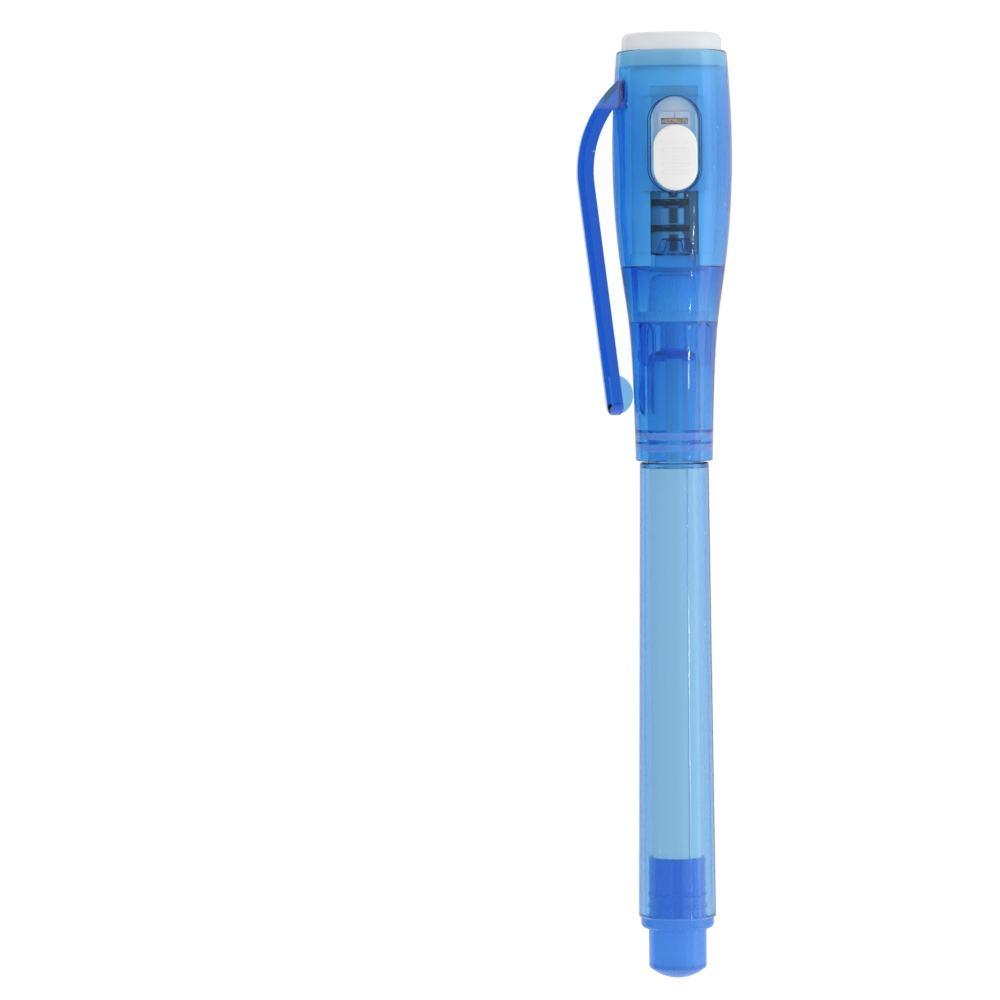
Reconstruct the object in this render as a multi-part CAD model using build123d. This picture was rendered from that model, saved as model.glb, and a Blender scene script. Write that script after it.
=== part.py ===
from build123d import *
import os
from math import cos, radians, sqrt

# An invisible-ink pen with a small lamp in its cap, lying on its side, in millimetres.
# Y runs along the pen from the root of its tail to its lamp, Z is up and faces the switch,
# and the pocket clip lies on the -X side. Every station is a distance along Y.

# Rear plug: a hollow stopper whose tail takes the cap while the pen is in use
TAIL_RADIUS = 3.97
TAIL_LENGTH = 5.4
TAIL_DOME = 1.55
TAIL_EDGE_ROUND = 0.5
COLLAR_RADIUS = 5.02
COLLAR_LENGTH = 1.5
COLLAR_ROUND = 0.7
SPIGOT_LENGTH = 8.4
SPIGOT_PLAY = 0.16
PLUG_WALL = 0.88
LOW_BEAD_HEIGHT = 1.7
BEAD_SPACING = 1.7
BEAD_HALF_WIDTH = 0.4
BEAD_FIT = 0.03

# Barrel: the tapered tube, the section that the cap slides over and the nose that grips the nib
BARREL_LENGTH = 62.85
BARREL_REAR_RADIUS = 5.33
BARREL_FRONT_RADIUS = 4.74
BARREL_WALL = 1.2
BARREL_EDGE_ROUND = 0.3
STOP_WEB = 0.8
SECTION_RADIUS = 3.65
SECTION_LENGTH = 15.5
SECTION_WALL = 0.9
SHOULDER_FLAT = 0.05
NOSE_RADIUS = 1.9
NOSE_TIP_RADIUS = 1.6
NOSE_LENGTH = 6.4
SNAP_BEAD_HEIGHT = 3.3
SNAP_BEAD_RISE = 0.16
SNAP_HALF_WIDTH = 0.4

# Ink: a fibre reservoir in a clear film, and the fibre nib that it feeds
FILM_THICKNESS = 0.12
FILM_FIT = 0.06
FIBRE_FIT = 0.02
NIB_RADIUS = 1.1
NIB_REACH = 2.6
NIB_POINT = 1.5
NIB_POINT_RADIUS = 0.45
NIB_CROWN = 0.25
NIB_DEPTH = 4.0
NIB_FIT = 0.04

# Cap shell: bores that step outwards from the mouth to the lamp, with a bulge over the switch
CAP_GAP = 0.2
MOUTH_BORE_RADIUS = 4.07
CHAMBER_RADIUS = 4.95
SEAT_BORE_RADIUS = 6.02
LAMP_BORE_RADIUS = 6.6
LAMP_BORE_LENGTH = 27.1
LAMP_BORE_TAPER = 7.5
BEZEL_RECESS = 2.2
SHELL_WALL = 1.2
SKIRT_FLARE = 0.42
BULGE_WALL = 1.6
BULGE_HEIGHT = 14.8
RIM_WALL = 0.6
RIM_ROUND = 0.45
MOUTH_ROUND = 0.2
MOUTH_SLOPE = 0.03
RIM_SLOPE = 0.08
SNAP_RING_SPACING = 1.6
SNAP_RING_RISE = 0.1
RIB_COUNT = 6
RIB_WIDTH = 2.5
RIB_LENGTH = 6.0
RIB_SET_BACK = 0.1
RIB_CLEARANCE = 0.15
KEY_PLAY = 0.55
KEY_HEIGHT = 3.7
KEY_SHOULDER = 1.5
KEY_TAPER = 0.85
KEY_THICKNESS = 0.6

# Pocket clip, moulded with the shell: a bevelled strip in a bend and a straight leaning arm
CLIP_WIDTH = 6.6
CLIP_THICKNESS = 2.15
CLIP_BEVEL_ACROSS = 1.0
CLIP_BEVEL_DEPTH = 0.8
CLIP_STANDOFF = 2.7
CLIP_BEND_RADIUS = 14.4
CLIP_BEND_DROP = 16.4
CLIP_ROOT_ANGLE = 60.0
CLIP_LEAN = 7.0
CLIP_TIP_DROP = 49.8
CLIP_TIP_RADIUS = 4.2
GUSSET_DROP = 7.9
BUMP_FROM_TIP = 2.95
BUMP_HALF_LENGTH = 2.6
BUMP_WIDTH = 1.6
BUMP_GAP = 0.12

# Inner cap: a soft thimble that seals over the nose and keeps the nib wet
SEAL_ON_NOSE = 3.9
SEAL_FLANGE = 1.4
SEAL_LIP = 1.6
SEAL_GAP = 0.15
THIMBLE_BASE_RADIUS = 3.62
THIMBLE_TOP_RADIUS = 3.1
THIMBLE_ROUND = 1.2
THIMBLE_WALL = 0.6
THIMBLE_GAP = 0.8
NIB_ROOM = 1.1
THIMBLE_HOLLOW_RADIUS = 2.4

# Battery carrier: an open tube that holds the button cells and the lamp, with the switch outside it
PRESS_FIT = 0.06
CARRIER_FLOOR = 1.6
WINDOW_HALF_WIDTH = 3.1
CARRIER_WALL = 1.6
LEAF_ROOM = 0.3

# Button cells, standard 7.9 by 3.6 cells: a can, a seal and a cap each
CELL_COUNT = 3
CELL_RADIUS = 3.95
CELL_HEIGHT = 3.6
CELL_PLAY = 0.05
CAN_HEIGHT = 2.8
CAN_ROUND = 0.3
CAN_LIP = 0.35
CUP_DEPTH = 0.9
CELL_CAP_RADIUS = 3.1
CELL_CAP_BEVEL = 0.2
SEAL_WIDTH = 0.42
SEAL_PROUD = 0.62
CELL_FIT = 0.02

# Lamp: a round 5 mm light-emitting diode with two flat-sided leads
LENS_RADIUS = 2.5
LENS_BODY_LENGTH = 5.2
LENS_FLANGE_RADIUS = 2.9
LENS_FLANGE = 1.0
LENS_RECESS = 1.4
LEAD_WIDTH = 0.5
LEAD_SPACING = 2.54
LEAD_BEND = 0.4
LEAD_IN_LENS = 3.2
ANVIL_HEIGHT = 1.6
ANVIL_GAP = 0.5
CONTACT_GAP = 0.1

# Contact strip: a pad under the stack of cells and a ribbon that rises beside the window's edge
STRIP_THICKNESS = 0.25
PAD_RADIUS = 2.4
RIBBON_WIDTH = 0.9
RIBBON_EDGE_GAP = 0.25
RIBBON_SETBACK = 0.58
RIBBON_BEND = 0.45

# Slide switch: a ribbed button through the shell's slot on a base that runs under the shell
SLOT_HEIGHT = 10.0
SLOT_DRAFT = 5.0
BUTTON_WIDTH = 6.0
BUTTON_LENGTH = 8.9
BUTTON_RISE = 0.7
BUTTON_ROUND = 0.45
BUTTON_CLEARANCE = 0.15
SWITCH_TRAVEL = 3.6
END_PLAY = 0.1
BASE_HALF_WIDTH = 4.2
BASE_THICKNESS = 0.65
BASE_CLEARANCE = 0.2
TONGUE_HALF_WIDTH = 2.2
TONGUE_LENGTH = 1.8
PLATE_LENGTH = 3.8
PLATE_STEP = 0.3
BOSS_WALL = 0.5
SEAM_HALF_WIDTH = 0.07
SEAM_DEPTH = 0.15
GRIP_RIB_COUNT = 5
GRIP_RIB_PITCH = 1.0
GRIP_RIB_RADIUS = 0.22
GRIP_RIB_RISE = 0.13
GRIP_HALF_WIDTH = 1.75
LEAF_THICKNESS = 0.2
LEAF_HALF_WIDTH = 2.85
LEAF_LENGTH = 4.6
LEAF_NECK_HALF_WIDTH = 1.75
LUG_WIDTH = 0.7
LUG_HEIGHT = 0.9
LUG_FIT = 0.05

# Lamp bezel: the white ring that closes the cap, with a conical reflector round the lens
BEZEL_RADIUS = 6.88
BEZEL_HEIGHT = 2.4
BEZEL_DRAFT = 0.12
BEZEL_ROUND = 1.0
BEZEL_SKIRT = 0.35
BEZEL_FIT = 0.06
REFLECTOR_RADIUS = 5.1
REFLECTOR_DEPTH = 3.4
REFLECTOR_ROUND = 0.2

# Stations and radii that follow from the values above
BARREL_REAR = COLLAR_LENGTH
BARREL_FRONT = BARREL_REAR + BARREL_LENGTH
SECTION_TOP = BARREL_FRONT + SECTION_LENGTH
NOSE_TOP = SECTION_TOP + NOSE_LENGTH
NIB_TIP = NOSE_TOP + NIB_REACH
INK_STOP = BARREL_FRONT - STOP_WEB
SPIGOT_TOP = BARREL_REAR + SPIGOT_LENGTH
BORE_REAR_RADIUS = BARREL_REAR_RADIUS - BARREL_WALL
BORE_FRONT_RADIUS = BARREL_FRONT_RADIUS - BARREL_WALL
NIB_BORE_RADIUS = NIB_RADIUS + NIB_FIT
CAP_MOUTH = BARREL_FRONT + CAP_GAP
SEAL_SEAT = SECTION_TOP + SEAL_ON_NOSE
THIMBLE_TOP = NIB_TIP + NIB_ROOM + THIMBLE_WALL
CARRIER_SEAT = THIMBLE_TOP + THIMBLE_GAP
BEZEL_SEAT = CARRIER_SEAT + LAMP_BORE_LENGTH
CAP_RIM = BEZEL_SEAT + BEZEL_RECESS
BEZEL_TOP = CAP_RIM + BEZEL_HEIGHT
RIB_TOP = SEAL_SEAT - RIB_SET_BACK
RIB_FOOT = RIB_TOP - RIB_LENGTH
RIM_BORE_RADIUS = BEZEL_RADIUS + BEZEL_FIT
BULGE_RADIUS = LAMP_BORE_RADIUS + BULGE_WALL
SKIRT_RADIUS = LAMP_BORE_RADIUS - PRESS_FIT
CARRIER_TOP = BEZEL_SEAT - BEZEL_SKIRT
FLOOR_TOP = CARRIER_SEAT + CARRIER_FLOOR
CELL_BORE_RADIUS = CELL_RADIUS + CELL_PLAY
WINDOW_BACK = sqrt(CELL_BORE_RADIUS ** 2 - WINDOW_HALF_WIDTH ** 2)
STACK_FOOT = FLOOR_TOP + STRIP_THICKNESS
STACK_TOP = STACK_FOOT + CELL_COUNT * CELL_HEIGHT
LENS_TOP = BEZEL_TOP - LENS_RECESS
LENS_FOOT = LENS_TOP - LENS_RADIUS - LENS_BODY_LENGTH - LENS_FLANGE
CARRIER_RADIUS = CELL_BORE_RADIUS + CARRIER_WALL
BASE_INNER_RADIUS = CARRIER_RADIUS + BASE_CLEARANCE
BASE_OUTER_RADIUS = BASE_INNER_RADIUS + BASE_THICKNESS
SLOT_LOW = CARRIER_SEAT + SLOT_HEIGHT
SLOT_HIGH = SLOT_LOW + BUTTON_LENGTH + SWITCH_TRAVEL + 2 * END_PLAY
BUTTON_LOW = SLOT_LOW + END_PLAY
BUTTON_HIGH = BUTTON_LOW + BUTTON_LENGTH
TONGUE_TOP = BUTTON_HIGH + TONGUE_LENGTH
PLATE_TOP = BUTTON_HIGH + PLATE_LENGTH
RIBBON_FRONT = CELL_BORE_RADIUS + RIBBON_SETBACK
LEAF_BACK = RIBBON_FRONT + CONTACT_GAP
LEAF_FRONT = LEAF_BACK + LEAF_THICKNESS
LUG_TOP = BUTTON_HIGH + LUG_HEIGHT
BOSS_TOP = LUG_TOP + BOSS_WALL
LEAF_TOP = LUG_TOP - LUG_WIDTH
LEAF_LOW = LEAF_TOP - LEAF_LENGTH
RIBBON_TOP = LEAF_LOW + SWITCH_TRAVEL + LUG_WIDTH

PICK = 0.01
REACH = 2 * BULGE_RADIUS


def turned(*outline):
    """Solid of revolution about the pen's axis, from corners given as (radius, station)."""
    return revolve(make_face(Polyline(*outline, close=True)), axis=Axis.Y)


def ring(inner, outer, low, high):
    """Plain tube between two radii and two stations."""
    return turned((inner, low), (outer, low), (outer, high), (inner, high))


def disc(radius, low, high):
    """Plain round disc between two stations."""
    return turned((0, low), (radius, low), (radius, high), (0, high))


def bead(radius, station, rise):
    """Half-round bead that stands off a wall of that radius, on both sides of it."""
    return revolve(Pos(radius, station) * Circle(rise), axis=Axis.Y)


def ridge(root, base, crest, station, half_width):
    """Sharp ring that rises from a wall at the base radius to the crest, rooted inside the wall."""
    low, high = station - half_width, station + half_width
    return turned((root, low), (base, low), (crest, station), (base, high), (root, high))


def slab(half_width, low, high, back, front):
    """Block across the pen between two stations, from the back depth to the front depth in Z."""
    outline = Pos(0, (low + high) / 2, back) * Rectangle(2 * half_width, high - low)
    return extrude(outline, front - back)


def round_edges(part, radius, station):
    """The round edges of that radius at that station."""
    def here(edge):
        return abs(edge.radius - radius) < PICK and abs(edge.arc_center.Y - station) < PICK
    return part.edges().filter_by(GeomType.CIRCLE).filter_by(here)


def barrel_bore(station):
    """Radius of the barrel's tapered bore at a station."""
    share = (station - BARREL_REAR) / BARREL_LENGTH
    return BORE_REAR_RADIUS + (BORE_FRONT_RADIUS - BORE_REAR_RADIUS) * share


def nose_radius(station):
    """Radius of the tapered nose at a station."""
    share = (station - SECTION_TOP) / NOSE_LENGTH
    return NOSE_RADIUS + (NOSE_TIP_RADIUS - NOSE_RADIUS) * share


def rear_plug():
    """Stopper: domed hollow tail, collar against the barrel, spigot with two sealing beads."""
    spigot_radius = barrel_bore(SPIGOT_TOP) - SPIGOT_PLAY
    hollow_radius = spigot_radius - PLUG_WALL
    hollow_floor = -TAIL_LENGTH + PLUG_WALL / 2
    apex = (0, -TAIL_LENGTH - TAIL_DOME)
    dome = TangentArc(apex, (TAIL_RADIUS, -TAIL_LENGTH), tangent=(1, 0))
    wall = Polyline(
        (TAIL_RADIUS, -TAIL_LENGTH),
        (TAIL_RADIUS, 0),
        (COLLAR_RADIUS, 0),
        (COLLAR_RADIUS, COLLAR_LENGTH),
        (spigot_radius, COLLAR_LENGTH),
        (spigot_radius, SPIGOT_TOP),
        (hollow_radius, SPIGOT_TOP),
        (hollow_radius, hollow_floor),
        (0, hollow_floor),
        apex,
    )
    plug = revolve(make_face([dome, *wall.edges()]), axis=Axis.Y)
    plug = fillet(round_edges(plug, COLLAR_RADIUS, 0), COLLAR_ROUND)
    plug = fillet(round_edges(plug, TAIL_RADIUS, -TAIL_LENGTH), TAIL_EDGE_ROUND)
    for height in (LOW_BEAD_HEIGHT, LOW_BEAD_HEIGHT + BEAD_SPACING):
        station = COLLAR_LENGTH + height
        bead_radius = barrel_bore(station + BEAD_HALF_WIDTH) - BEAD_FIT
        bead_root = spigot_radius - PLUG_WALL / 2
        plug += ridge(bead_root, spigot_radius, bead_radius, station, BEAD_HALF_WIDTH)
    return plug


def barrel():
    """One moulding: tapered tube, narrower section with its snap bead, and the nib's nose."""
    section_bore = SECTION_RADIUS - SECTION_WALL
    nib_bore_foot = SECTION_TOP - SECTION_WALL
    shoulder_round = SECTION_RADIUS - NOSE_RADIUS - SHOULDER_FLAT
    body = turned(
        (BORE_REAR_RADIUS, BARREL_REAR),
        (BARREL_REAR_RADIUS, BARREL_REAR),
        (BARREL_FRONT_RADIUS, BARREL_FRONT),
        (SECTION_RADIUS, BARREL_FRONT),
        (SECTION_RADIUS, SECTION_TOP),
        (NOSE_RADIUS, SECTION_TOP),
        (NOSE_TIP_RADIUS, NOSE_TOP),
        (NIB_BORE_RADIUS, NOSE_TOP),
        (NIB_BORE_RADIUS, nib_bore_foot),
        (section_bore, nib_bore_foot),
        (section_bore, INK_STOP),
        (barrel_bore(INK_STOP), INK_STOP),
    )
    body = fillet(round_edges(body, SECTION_RADIUS, SECTION_TOP), shoulder_round)
    body = fillet(round_edges(body, section_bore, nib_bore_foot), shoulder_round - SECTION_WALL)
    body = fillet(round_edges(body, BARREL_FRONT_RADIUS, BARREL_FRONT), BARREL_EDGE_ROUND)
    body = fillet(round_edges(body, BARREL_REAR_RADIUS, BARREL_REAR), BARREL_EDGE_ROUND)
    return body + ridge(
        SECTION_RADIUS - SECTION_WALL / 2,
        SECTION_RADIUS,
        SECTION_RADIUS + SNAP_BEAD_RISE,
        BARREL_FRONT + SNAP_BEAD_HEIGHT,
        SNAP_HALF_WIDTH,
    )


def film_radius():
    """Outer radius of the film round the reservoir, held by the narrow end of the bore."""
    return barrel_bore(INK_STOP) - FILM_FIT


def reservoir_film():
    """Clear film wrapped round the fibre, between the plug's spigot and the barrel's stop."""
    outer = film_radius()
    return ring(outer - FILM_THICKNESS, outer, SPIGOT_TOP, INK_STOP)


def ink_reservoir():
    """Fibre rod that holds the ink, with a socket that the nib's tail is pushed into."""
    fibre = disc(film_radius() - FILM_THICKNESS - FIBRE_FIT, SPIGOT_TOP, INK_STOP)
    return fibre - disc(NIB_BORE_RADIUS, INK_STOP - NIB_DEPTH, INK_STOP)


def nib():
    """Fibre nib: a slim rod from the reservoir through the nose to a rounded point."""
    apex = (0, NIB_TIP)
    crown = TangentArc(apex, (NIB_POINT_RADIUS, NIB_TIP - NIB_CROWN), tangent=(1, 0))
    side = Polyline(
        (NIB_POINT_RADIUS, NIB_TIP - NIB_CROWN),
        (NIB_RADIUS, NIB_TIP - NIB_POINT),
        (NIB_RADIUS, INK_STOP - NIB_DEPTH),
        (0, INK_STOP - NIB_DEPTH),
        apex,
    )
    return revolve(make_face([crown, *side.edges()]), axis=Axis.Y)


def shell_outline():
    """Side of the cap from its mouth to its rim, a skin of even wall over the stepped bores."""
    return Spline(
        (MOUTH_BORE_RADIUS + SHELL_WALL, CAP_MOUTH),
        (MOUTH_BORE_RADIUS + SHELL_WALL + SKIRT_FLARE, RIB_FOOT),
        (CHAMBER_RADIUS + SHELL_WALL, SEAL_SEAT),
        (SEAT_BORE_RADIUS + SHELL_WALL, CARRIER_SEAT),
        (BULGE_RADIUS, CARRIER_SEAT + BULGE_HEIGHT),
        (RIM_BORE_RADIUS + RIM_WALL, CAP_RIM),
        tangents=((MOUTH_SLOPE, 1), (-RIM_SLOPE, 1)),
    )


def shell_radius(station):
    """Radius of the cap's side at a station, found by halving along the outline."""
    outline = shell_outline()
    low, high = 0.0, 1.0
    while high - low > PICK / REACH:
        middle = (low + high) / 2
        if (outline @ middle).Y < station:
            low = middle
        else:
            high = middle
    return (outline @ low).X


def clip():
    """Pocket clip: a bevelled strip swept round the bend and down the arm, with a bump at its end."""
    bend_x = CLIP_BEND_RADIUS - BULGE_RADIUS - CLIP_STANDOFF
    bend_y = CAP_RIM - CLIP_BEND_DROP
    bend = CenterArc((bend_x, bend_y), CLIP_BEND_RADIUS, 180 - CLIP_ROOT_ANGLE, CLIP_ROOT_ANGLE + CLIP_LEAN)
    down = bend % 1
    arm_start = bend @ 1
    arm_length = (arm_start.Y - CAP_RIM + CLIP_TIP_DROP) / cos(radians(CLIP_LEAN))
    tip = arm_start + down * arm_length
    path = Wire([*bend.edges(), *Line(arm_start, tip).edges()])
    half = CLIP_WIDTH / 2
    section = Plane(origin=bend @ 0, x_dir=(0, 0, 1), z_dir=bend % 0) * make_face(
        Polyline(
            (-half, 0),
            (half, 0),
            (half, CLIP_THICKNESS - CLIP_BEVEL_DEPTH),
            (half - CLIP_BEVEL_ACROSS, CLIP_THICKNESS),
            (CLIP_BEVEL_ACROSS - half, CLIP_THICKNESS),
            (-half, CLIP_THICKNESS - CLIP_BEVEL_DEPTH),
            close=True,
        )
    )
    strip = sweep(section, path)
    tip_round = CLIP_THICKNESS / 2
    tip_block = Rectangle(2 * tip_round, 2 * CLIP_THICKNESS) - Pos(-tip_round, 0) * Circle(tip_round)
    tip_block = Pos(tip) * Rot(0, 0, CLIP_LEAN - 90) * Pos(0, -tip_round) * tip_block
    strip -= extrude(tip_block, REACH, both=True)
    front_view = Pos(tip.Y + REACH * 2, 0) * SlotOverall(4 * REACH, 2 * CLIP_TIP_RADIUS)
    strip &= extrude(Plane.YZ * front_view, REACH, both=True)

    gusset_foot = CAP_RIM - GUSSET_DROP
    web_radius = CLIP_BEND_RADIUS + CLIP_THICKNESS / 2
    foot_rise = gusset_foot - bend_y
    root_x = -(LAMP_BORE_RADIUS + SHELL_WALL / 2)
    root_y = bend_y + sqrt(web_radius ** 2 - (bend_x - root_x) ** 2)
    foot = (bend_x - sqrt(web_radius ** 2 - foot_rise ** 2), gusset_foot)
    shoulder = RadiusArc(foot, (root_x, root_y), web_radius)
    inside = Polyline(foot, (root_x, gusset_foot), (root_x, root_y))
    gusset = extrude(make_face([shoulder, *inside.edges()]), half, both=True)

    bump_seat = tip - down * BUMP_FROM_TIP
    rise = (-bump_seat.X - shell_radius(bump_seat.Y) - BUMP_GAP) / cos(radians(CLIP_LEAN))
    crest = ThreePointArc((-BUMP_HALF_LENGTH, 0), (0, rise), (BUMP_HALF_LENGTH, 0))
    root = Polyline(
        (BUMP_HALF_LENGTH, 0),
        (BUMP_HALF_LENGTH, -CLIP_THICKNESS / 2),
        (-BUMP_HALF_LENGTH, -CLIP_THICKNESS / 2),
        (-BUMP_HALF_LENGTH, 0),
    )
    bump = extrude(make_face([crest, *root.edges()]), BUMP_WIDTH / 2, both=True)
    bump = Pos(bump_seat) * Rot(0, 0, CLIP_LEAN - 90) * bump
    return strip + gusset + bump


def rib():
    """One round-topped rib on the front of the mouth's bore, which steadies the pen's section."""
    half = RIB_WIDTH / 2
    shoulder = RIB_TOP - half
    sides = Polyline((half, shoulder), (half, RIB_FOOT), (-half, RIB_FOOT), (-half, shoulder))
    crown = ThreePointArc((-half, shoulder), (0, RIB_TOP), (half, shoulder))
    web = extrude(make_face([*sides.edges(), crown]), REACH)
    return web & ring(
        SECTION_RADIUS + RIB_CLEARANCE,
        MOUTH_BORE_RADIUS + SHELL_WALL / 2,
        RIB_FOOT,
        RIB_TOP,
    )


def key():
    """Tapered key over the carrier's seat, which lines the carrier's window up with the slot."""
    half = WINDOW_HALF_WIDTH - KEY_PLAY
    top_half = half - KEY_TAPER
    outline = Polyline(
        (-half, CARRIER_SEAT - SHELL_WALL / 2),
        (half, CARRIER_SEAT - SHELL_WALL / 2),
        (half, CARRIER_SEAT + KEY_SHOULDER),
        (top_half, CARRIER_SEAT + KEY_HEIGHT),
        (-top_half, CARRIER_SEAT + KEY_HEIGHT),
        (-half, CARRIER_SEAT + KEY_SHOULDER),
        close=True,
    )
    return extrude(make_face(outline), REACH) & ring(
        SEAT_BORE_RADIUS - KEY_THICKNESS,
        SEAT_BORE_RADIUS + SHELL_WALL / 2,
        CARRIER_SEAT - SHELL_WALL / 2,
        CARRIER_SEAT + KEY_HEIGHT,
    )


def cap_shell():
    """Clear cap with its clip: stepped bores, ribs and snap rings at the mouth, key and slot."""
    side = shell_outline()
    mouth, rim = side @ 0, side @ 1
    bores = Polyline(
        (rim.X, CAP_RIM),
        (RIM_BORE_RADIUS, CAP_RIM),
        (RIM_BORE_RADIUS, BEZEL_SEAT),
        (LAMP_BORE_RADIUS, BEZEL_SEAT),
        (LAMP_BORE_RADIUS, CARRIER_SEAT + LAMP_BORE_TAPER),
        (SEAT_BORE_RADIUS, CARRIER_SEAT),
        (CHAMBER_RADIUS, CARRIER_SEAT),
        (CHAMBER_RADIUS, SEAL_SEAT),
        (MOUTH_BORE_RADIUS, SEAL_SEAT),
        (MOUTH_BORE_RADIUS, CAP_MOUTH),
        (mouth.X, CAP_MOUTH),
    )
    shell = revolve(make_face([side, *bores.edges()]), axis=Axis.Y)
    shell = fillet(round_edges(shell, rim.X, CAP_RIM), RIM_ROUND)
    shell = fillet(round_edges(shell, mouth.X, CAP_MOUTH), MOUTH_ROUND)
    shell += clip() - disc(LAMP_BORE_RADIUS + SHELL_WALL / 2, CARRIER_SEAT, CAP_RIM)
    snap_station = BARREL_FRONT + SNAP_BEAD_HEIGHT
    for side_step in (-SNAP_RING_SPACING / 2, SNAP_RING_SPACING / 2):
        shell += ridge(
            MOUTH_BORE_RADIUS + SHELL_WALL / 2,
            MOUTH_BORE_RADIUS,
            MOUTH_BORE_RADIUS - SNAP_RING_RISE,
            snap_station + side_step,
            SNAP_HALF_WIDTH,
        )
    for turn in range(RIB_COUNT):
        shell += Rot(0, turn * 360 / RIB_COUNT, 0) * rib()
    shell += key()
    slot_width = BUTTON_WIDTH + 2 * BUTTON_CLEARANCE
    slot_foot = sqrt(LAMP_BORE_RADIUS ** 2 - slot_width ** 2 / 4)
    slot = SlotOverall(SLOT_HIGH - SLOT_LOW, slot_width, rotation=90)
    slot = Pos(0, (SLOT_LOW + SLOT_HIGH) / 2, slot_foot) * slot
    return shell - extrude(slot, REACH, taper=-SLOT_DRAFT)


def inner_cap():
    """Soft thimble on the shell's first step: flange, lip round the nose, rounded closed top."""
    flange_top = SEAL_SEAT + SEAL_FLANGE
    lip_radius = nose_radius(SEAL_SEAT) + SEAL_GAP
    thimble = turned(
        (lip_radius, SEAL_SEAT),
        (CHAMBER_RADIUS - PRESS_FIT, SEAL_SEAT),
        (CHAMBER_RADIUS - PRESS_FIT, flange_top),
        (THIMBLE_BASE_RADIUS, flange_top),
        (THIMBLE_TOP_RADIUS, THIMBLE_TOP),
        (0, THIMBLE_TOP),
        (0, THIMBLE_TOP - THIMBLE_WALL),
        (THIMBLE_HOLLOW_RADIUS, THIMBLE_TOP - THIMBLE_WALL),
        (THIMBLE_HOLLOW_RADIUS, SEAL_SEAT + SEAL_LIP),
        (lip_radius, SEAL_SEAT + SEAL_LIP),
    )
    return fillet(round_edges(thimble, THIMBLE_TOP_RADIUS, THIMBLE_TOP), THIMBLE_ROUND)


def battery_carrier():
    """Milky tube: foot on the shell's seat, floor, bore for the cells, front window, lamp's seat."""
    lens_shoulder = LENS_FOOT + LENS_FLANGE
    foot_radius = SEAT_BORE_RADIUS - PRESS_FIT
    tube = turned(
        (0, CARRIER_SEAT),
        (foot_radius, CARRIER_SEAT),
        (foot_radius, FLOOR_TOP),
        (CARRIER_RADIUS, FLOOR_TOP),
        (CARRIER_RADIUS, CARRIER_TOP),
        (LENS_RADIUS + PRESS_FIT, CARRIER_TOP),
        (LENS_RADIUS + PRESS_FIT, lens_shoulder),
        (LENS_FLANGE_RADIUS + PRESS_FIT, lens_shoulder),
        (LENS_FLANGE_RADIUS + PRESS_FIT, LENS_FOOT),
        (CELL_BORE_RADIUS, LENS_FOOT),
        (CELL_BORE_RADIUS, FLOOR_TOP),
        (0, FLOOR_TOP),
    )
    tube -= slab(WINDOW_HALF_WIDTH, CARRIER_SEAT - REACH, LENS_FOOT, WINDOW_BACK, REACH)
    leaf_top = BOSS_TOP + SWITCH_TRAVEL + LEAF_ROOM
    return tube - slab(WINDOW_HALF_WIDTH, LENS_FOOT, leaf_top, LEAF_BACK - LEAF_ROOM, REACH)


def cell_can(foot):
    """Steel can of one cell, rounded at its foot, drawn in at its lip, open for seal and cap."""
    can = turned(
        (0, foot),
        (CELL_RADIUS, foot),
        (CELL_RADIUS, foot + CAN_HEIGHT - CAN_LIP),
        (CELL_RADIUS - CAN_LIP / 2, foot + CAN_HEIGHT),
        (CELL_CAP_RADIUS + SEAL_WIDTH, foot + CAN_HEIGHT),
        (CELL_CAP_RADIUS + SEAL_WIDTH, foot + CAN_HEIGHT - CUP_DEPTH),
        (0, foot + CAN_HEIGHT - CUP_DEPTH),
    )
    return fillet(round_edges(can, CELL_RADIUS, foot), CAN_ROUND)


def cell_seal(foot):
    """Dark ring that seals the can against the cap."""
    return ring(
        CELL_CAP_RADIUS + CELL_FIT,
        CELL_CAP_RADIUS + SEAL_WIDTH - CELL_FIT,
        foot + CAN_HEIGHT - CUP_DEPTH,
        foot + CAN_HEIGHT + SEAL_PROUD,
    )


def cell_cap(foot):
    """Steel cap of one cell, which touches the can of the next."""
    top = foot + CELL_HEIGHT
    cap = disc(CELL_CAP_RADIUS, foot + CAN_HEIGHT - CUP_DEPTH, top)
    return chamfer(round_edges(cap, CELL_CAP_RADIUS, top), CELL_CAP_BEVEL)


def bent_lead(*corners):
    """Square wire along a bent path, given by its corners."""
    path = FilletPolyline(*corners, radius=LEAD_BEND)
    along = path % 0
    across = Plane(origin=path @ 0, x_dir=(1, 0, 0), z_dir=along)
    return sweep(across * Rectangle(LEAD_WIDTH, LEAD_WIDTH), path)


def led_cathode_lead():
    """Lead from the lens down to the top cell, with the broad anvil that carries the light's chip."""
    x = -LEAD_SPACING / 2
    head = LENS_FOOT + LEAD_IN_LENS
    rest = STACK_TOP + LEAD_WIDTH / 2
    lead = bent_lead((x, head, 0), (x, rest, 0), (-x, rest, 0))
    edge = x - LEAD_WIDTH / 2
    anvil = Polyline(
        (edge, head),
        (edge + LEAD_WIDTH, head),
        (ANVIL_GAP / 2, head + ANVIL_HEIGHT / 2),
        (ANVIL_GAP / 2, head + ANVIL_HEIGHT),
        (edge, head + ANVIL_HEIGHT),
        close=True,
    )
    return lead + extrude(make_face(anvil), LEAD_WIDTH / 2, both=True)


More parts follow.
